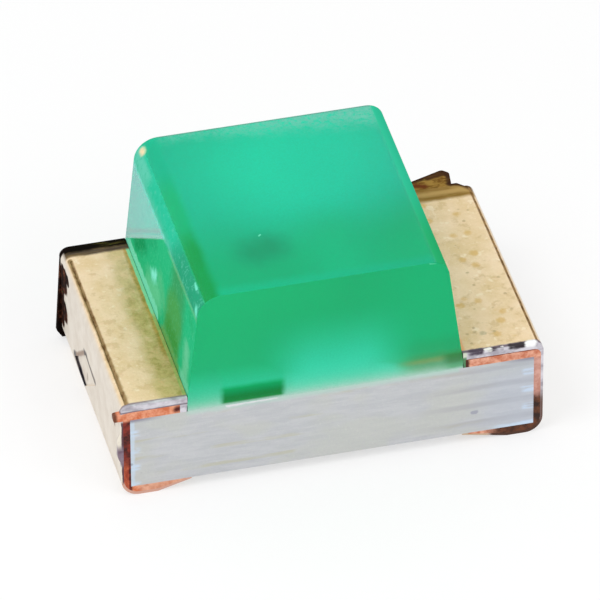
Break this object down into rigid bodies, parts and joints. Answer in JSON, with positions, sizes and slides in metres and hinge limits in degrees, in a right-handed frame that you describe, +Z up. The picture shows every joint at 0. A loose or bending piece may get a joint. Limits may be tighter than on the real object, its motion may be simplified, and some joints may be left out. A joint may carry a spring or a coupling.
{
  "type": "surface-mount led",
  "caption": "Chip light-emitting diode with a moulded translucent green lens on a laminate board, soldered by two wrap-round plated terminals.",
  "frame": {"origin": "middle of the body's length and width, in the plane of the solder faces", "axes": "+X along the length from the left terminal (the one with the die) to the right terminal, +Y from the front saw cut to the back one, +Z up out of the lens"},
  "size_m": [0.002, 0.0014, 0.0011],
  "materials": {
    "laminate": "satin",
    "copper": "satin",
    "gold_plating": "satin",
    "solder_resist": "satin",
    "semiconductor": "satin",
    "silver_epoxy": "matte",
    "bond_gold": "polished",
    "lens_resin": "glossy"
  },
  "bodies": {
    "root": {"board": "laminate", "left_top_copper": "copper", "left_end_copper": "copper", "left_solder_copper": "copper", "left_plating": "gold_plating", "right_top_copper": "copper", "right_end_copper": "copper", "right_solder_copper": "copper", "right_plating": "gold_plating", "polarity_mark": "solder_resist", "led_die": "semiconductor", "die_attach": "silver_epoxy", "die_contact": "bond_gold", "bond_wire": "bond_gold", "lens": "lens_resin"}
  },
  "joints": []
}
